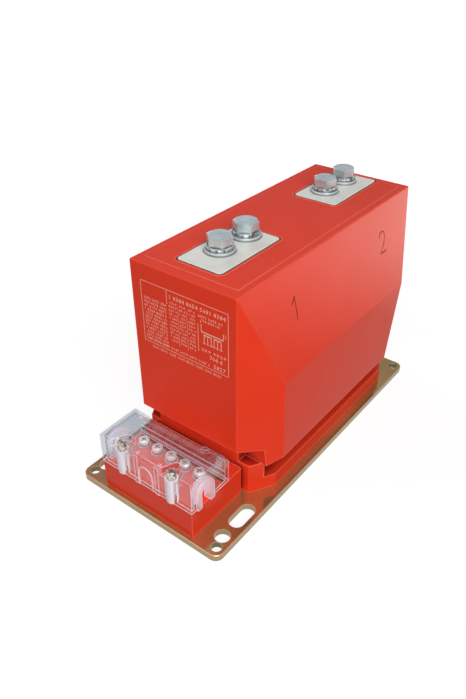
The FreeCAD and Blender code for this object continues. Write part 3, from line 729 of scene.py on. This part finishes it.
def link_object(name, mesh):
    """New object for a mesh, at the origin."""
    made = bpy.data.objects.new(name, mesh)
    bpy.context.scene.collection.objects.link(made)
    return made


def thin_bar(shape, start, end, width, depth, normal):
    """Adds a thin straight bar between two points of a flat face."""
    start, end, up = Vector(start), Vector(end), Vector(normal)
    along = (end - start).normalized()
    across = up.cross(along)
    turn = Matrix((along, across, up)).transposed().to_4x4()
    size = Matrix.Diagonal(((end - start).length + width, width, depth, 1.0))
    middle = Matrix.Translation((start + end) / 2)
    bmesh.ops.create_cube(shape, size=1.0, matrix=middle @ turn @ size)


def plain_digits(row, count):
    """Filler digits in small groups for one printed row."""
    signs = []
    for i in range(count):
        signs.append(" " if (i + row) % 5 == 4 else str((3 * i + 7 * row + i * i // 3) % 10))
    return "".join(signs)


def add_numbers(shape, words, x, z, height, width):
    """Adds one printed line to the front face, as thin digits of a set height and width."""
    curve = bpy.data.curves.new("numbers", "FONT")
    curve.body = words
    curve.resolution_u = 1
    curve.extrude = PRINT_PROUD / 2
    text = bpy.data.objects.new("numbers", curve)
    bpy.context.scene.collection.objects.link(text)
    bpy.context.view_layer.update()
    shown = text.evaluated_get(bpy.context.evaluated_depsgraph_get())
    flat = bpy.data.meshes.new_from_object(shown)
    wide = max(corner.co.x for corner in flat.vertices)
    high = max(corner.co.y for corner in flat.vertices)
    fitted = Matrix.Diagonal((width * MM / wide, height * MM / high, 1.0, 1.0))
    upright = Matrix.Rotation(math.radians(90), 4, "X")
    place = Matrix.Translation((x * MM, FRONT_FACE_Y * MM - PRINT_PROUD / 2, z * MM))
    flat.transform(place @ upright @ fitted)
    shape.from_mesh(flat)
    bpy.data.objects.remove(text)
    bpy.data.curves.remove(curve)
    bpy.data.meshes.remove(flat)


def finish_piece(shape, name, material):
    """Turns a bmesh into a piece of the object that rides on the root body."""
    bmesh.ops.recalc_face_normals(shape, faces=shape.faces)
    mesh = bpy.data.meshes.new(name)
    shape.to_mesh(mesh)
    shape.free()
    mesh.materials.append(material)
    piece = link_object(name, mesh)
    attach(piece, "root")


def printed_line(shape, x0, z0, x1, z1, width):
    """Adds one straight printed line to the front face."""
    y = FRONT_FACE_Y * MM - PRINT_PROUD / 2
    start, end = (x0 * MM, y, z0 * MM), (x1 * MM, y, z1 * MM)
    thin_bar(shape, start, end, width * MM, PRINT_PROUD, (0, -1, 0))


def winding_diagram(shape):
    """Adds a plain winding diagram: a primary bar over two tapped coils."""
    (x0, top0), (x1, top1) = PRIMARY_ENDS
    printed_line(shape, x0, top0, x0, PRIMARY_BAR, LEG_WIDTH)
    printed_line(shape, x0, PRIMARY_BAR, x1, PRIMARY_BAR, BAR_WIDTH)
    printed_line(shape, x1, top1, x1, PRIMARY_BAR, LEG_WIDTH)
    for sign in PRIMARY_SIGNS:
        add_numbers(shape, *sign)
    for x in COIL_STARTS:
        printed_line(shape, x, COIL_TOP, x + COIL_WIDTH, COIL_TOP, COIL_BAR_WIDTH)
        for leg in (x, x + COIL_WIDTH / 2, x + COIL_WIDTH):
            printed_line(shape, leg, COIL_TOP, leg, LEG_END, LEG_WIDTH)
            left, right = leg - TERMINAL_HALF, leg + TERMINAL_HALF
            printed_line(shape, left, TERMINAL_Z, right, TERMINAL_Z, TERMINAL_WIDTH)


def rating_print():
    """Printed rating table on the front face: a frame, rows of plain numbers and a diagram."""
    shape = bmesh.new()
    left, right, foot, top = PRINT_FRAME
    frame_lines = (
        (left, foot, right, foot),
        (left, top, right, top),
        (left, foot, left, top),
        (right, foot, right, top),
    )
    for ends in frame_lines + PRINT_RULES:
        printed_line(shape, *ends, FRAME_WIDTH)
    for ends in THIN_RULES:
        printed_line(shape, *ends, THIN_WIDTH)
    for seed, digits, x, z, height, width, rows, pitch in PRINT_COLUMNS:
        for row in range(rows):
            words = plain_digits(seed + row, digits)
            add_numbers(shape, words, x, z - pitch * row, height, width)
    for seed, digits, x, z, height, width in PRINT_ROWS:
        add_numbers(shape, plain_digits(seed, digits), x, z, height, width)
    winding_diagram(shape)
    finish_piece(shape, "rating_print", INK)


def side_mark(name, centre_y, strokes):
    """Numeral scratched in the upper side panel, as thin dark strokes that follow the slope."""
    ridge = Vector((RIDGE_X * MM, 0.0, RIDGE_Z * MM))
    rim = Vector((RIM_X * MM, 0.0, RIM_Z * MM))
    up = (rim - ridge).normalized()
    out = Vector((up.z, 0.0, -up.x))
    points = []
    for u, v in strokes:
        points.append(ridge + up * (v * MM) + Vector((0.0, (centre_y + u) * MM, 0.0)))
    shape = bmesh.new()
    for start, end in zip(points, points[1:]):
        thin_bar(shape, start, end, MARK_WIDTH * MM, PRINT_PROUD, out)
    finish_piece(shape, name, SCRATCH)


def white_paper(tree, place):
    """Matt white paper, faintly clouded: it takes the shadow and is brighter in gloss behind."""
    far = add(tree, "ShaderNodeVectorMath", {0: place}, operation="LENGTH").outputs["Value"]
    white = add(
        tree, "ShaderNodeMapRange", {0: far, 1: WHITE_FROM, 2: WHITE_TO, 3: 0.86, 4: 1.0}
    ).outputs[0]
    glow = add(tree, "ShaderNodeEmission", {"Color": linear("#FFFFFF"), "Strength": white})
    tint = layered(tree, "#777675", (cloud(tree, place, 400.0, 0.0, 1.0), "#7A7978"))
    paper = add(tree, "ShaderNodeBsdfDiffuse", {"Color": tint})
    seen = add(tree, "ShaderNodeAddShader", {0: paper.outputs[0], 1: glow.outputs[0]})
    back = add(tree, "ShaderNodeSeparateXYZ", {0: place}).outputs["Y"]
    shine = add(
        tree, "ShaderNodeMapRange", {0: back, 1: SHINE_FROM, 2: SHINE_TO, 3: 0.9, 4: 5.4}
    ).outputs[0]
    mirror = add(tree, "ShaderNodeEmission", {"Color": linear("#FFF7F0"), "Strength": shine})
    rays = add(tree, "ShaderNodeLightPath")
    others = add(
        tree,
        "ShaderNodeMixShader",
        {0: rays.outputs["Is Glossy Ray"], 1: paper.outputs[0], 2: mirror.outputs[0]},
    )
    straight = add(
        tree,
        "ShaderNodeMath",
        {0: rays.outputs["Is Camera Ray"], 1: rays.outputs["Is Transmission Ray"]},
        operation="MAXIMUM",
    )
    return add(
        tree,
        "ShaderNodeMixShader",
        {0: straight.outputs[0], 1: others.outputs[0], 2: seen.outputs[0]},
    )


def floor_sheet():
    """Paper floor round the object."""
    shape = bmesh.new()
    bmesh.ops.create_grid(shape, x_segments=1, y_segments=1, size=FLOOR_HALF)
    mesh = bpy.data.meshes.new("floor")
    shape.to_mesh(mesh)
    shape.free()
    floor = link_object("floor", mesh)
    floor.data.materials.append(new_material("floor_paper_white", white_paper))


def white_room():
    """White to the eye, a weak fill for the surfaces, a grey ceiling with a lamp in the gloss."""
    world = bpy.data.worlds.new("studio")
    bpy.context.scene.world = world
    world.use_nodes = True
    tree = world.node_tree
    tree.nodes.clear()
    rays = add(tree, "ShaderNodeLightPath")
    heading = add(tree, "ShaderNodeTexCoord").outputs["Generated"]
    height = add(tree, "ShaderNodeSeparateXYZ", {0: heading}).outputs["Z"]
    ceiling = add(
        tree, "ShaderNodeMapRange", {0: height, 1: CEILING_FROM, 2: CEILING_TO, 3: 0.26, 4: 1.05}
    ).outputs[0]
    overhead = add(
        tree, "ShaderNodeMapRange", {0: height, 1: OVERHEAD_FROM, 2: OVERHEAD_TO, 3: 1.0, 4: 0.4}
    ).outputs[0]
    ceiling = add(
        tree, "ShaderNodeMath", {0: ceiling, 1: overhead}, operation="MULTIPLY"
    ).outputs[0]
    near_lamp = add(
        tree, "ShaderNodeVectorMath", {0: heading, 1: PATCH_HEADING}, operation="DOT_PRODUCT"
    ).outputs["Value"]
    lamp = add(
        tree, "ShaderNodeMapRange", {0: near_lamp, 1: PATCH_RIM, 2: PATCH_FULL, 3: 0.0, 4: 2.8}
    ).outputs[0]
    ceiling = add(tree, "ShaderNodeMath", {0: ceiling, 1: lamp}, operation="ADD").outputs[0]
    white = add(tree, "ShaderNodeBackground", {"Color": linear("#FFFFFF"), "Strength": 1.0})
    fill = add(tree, "ShaderNodeBackground", {"Color": linear("#FFFFFF"), "Strength": 0.16})
    mirror = add(tree, "ShaderNodeBackground", {"Color": linear("#FAFBFF"), "Strength": ceiling})
    lit = add(
        tree,
        "ShaderNodeMixShader",
        {0: rays.outputs["Is Glossy Ray"], 1: fill.outputs[0], 2: mirror.outputs[0]},
    )
    straight = add(
        tree,
        "ShaderNodeMath",
        {0: rays.outputs["Is Camera Ray"], 1: rays.outputs["Is Transmission Ray"]},
        operation="MAXIMUM",
    )
    seen = add(
        tree,
        "ShaderNodeMixShader",
        {0: straight.outputs[0], 1: lit.outputs[0], 2: white.outputs[0]},
    )
    add(tree, "ShaderNodeOutputWorld", {"Surface": seen.outputs[0]})


def soft_lamp(name, place, size, power):
    """Square soft lamp aimed at the middle of the object."""
    lamp = bpy.data.lights.new(name, "AREA")
    lamp.shape = "SQUARE"
    lamp.size = size
    lamp.energy = power
    holder = bpy.data.objects.new(name, lamp)
    holder.location = place
    aim = Vector(LAMP_AIM) - Vector(place)
    holder.rotation_euler = aim.to_track_quat("-Z", "Y").to_euler()
    holder.visible_glossy = False
    bpy.context.scene.collection.objects.link(holder)


def photo_camera():
    """Camera at the photo's viewing angle."""
    data = bpy.data.cameras.new("camera")
    data.sensor_width = SENSOR
    data.lens = CAMERA_LENS
    holder = bpy.data.objects.new("camera", data)
    turn = (
        Matrix.Rotation(math.radians(CAMERA_YAW), 4, "Z")
        @ Matrix.Rotation(math.radians(90 - CAMERA_PITCH), 4, "X")
        @ Matrix.Rotation(math.radians(CAMERA_ROLL), 4, "Z")
    )
    holder.matrix_world = Matrix.Translation(CAMERA_PLACE) @ turn
    bpy.context.scene.collection.objects.link(holder)
    bpy.context.scene.camera = holder


rating_print()
side_mark("side_mark_1", MARK_ONE_Y, MARK_ONE)
side_mark("side_mark_2", MARK_TWO_Y, MARK_TWO)
floor_sheet()
white_room()
for lamp in LAMPS:
    soft_lamp(*lamp)
photo_camera()
bpy.context.scene.view_settings.view_transform = "Standard"

bpy.context.view_layer.update()
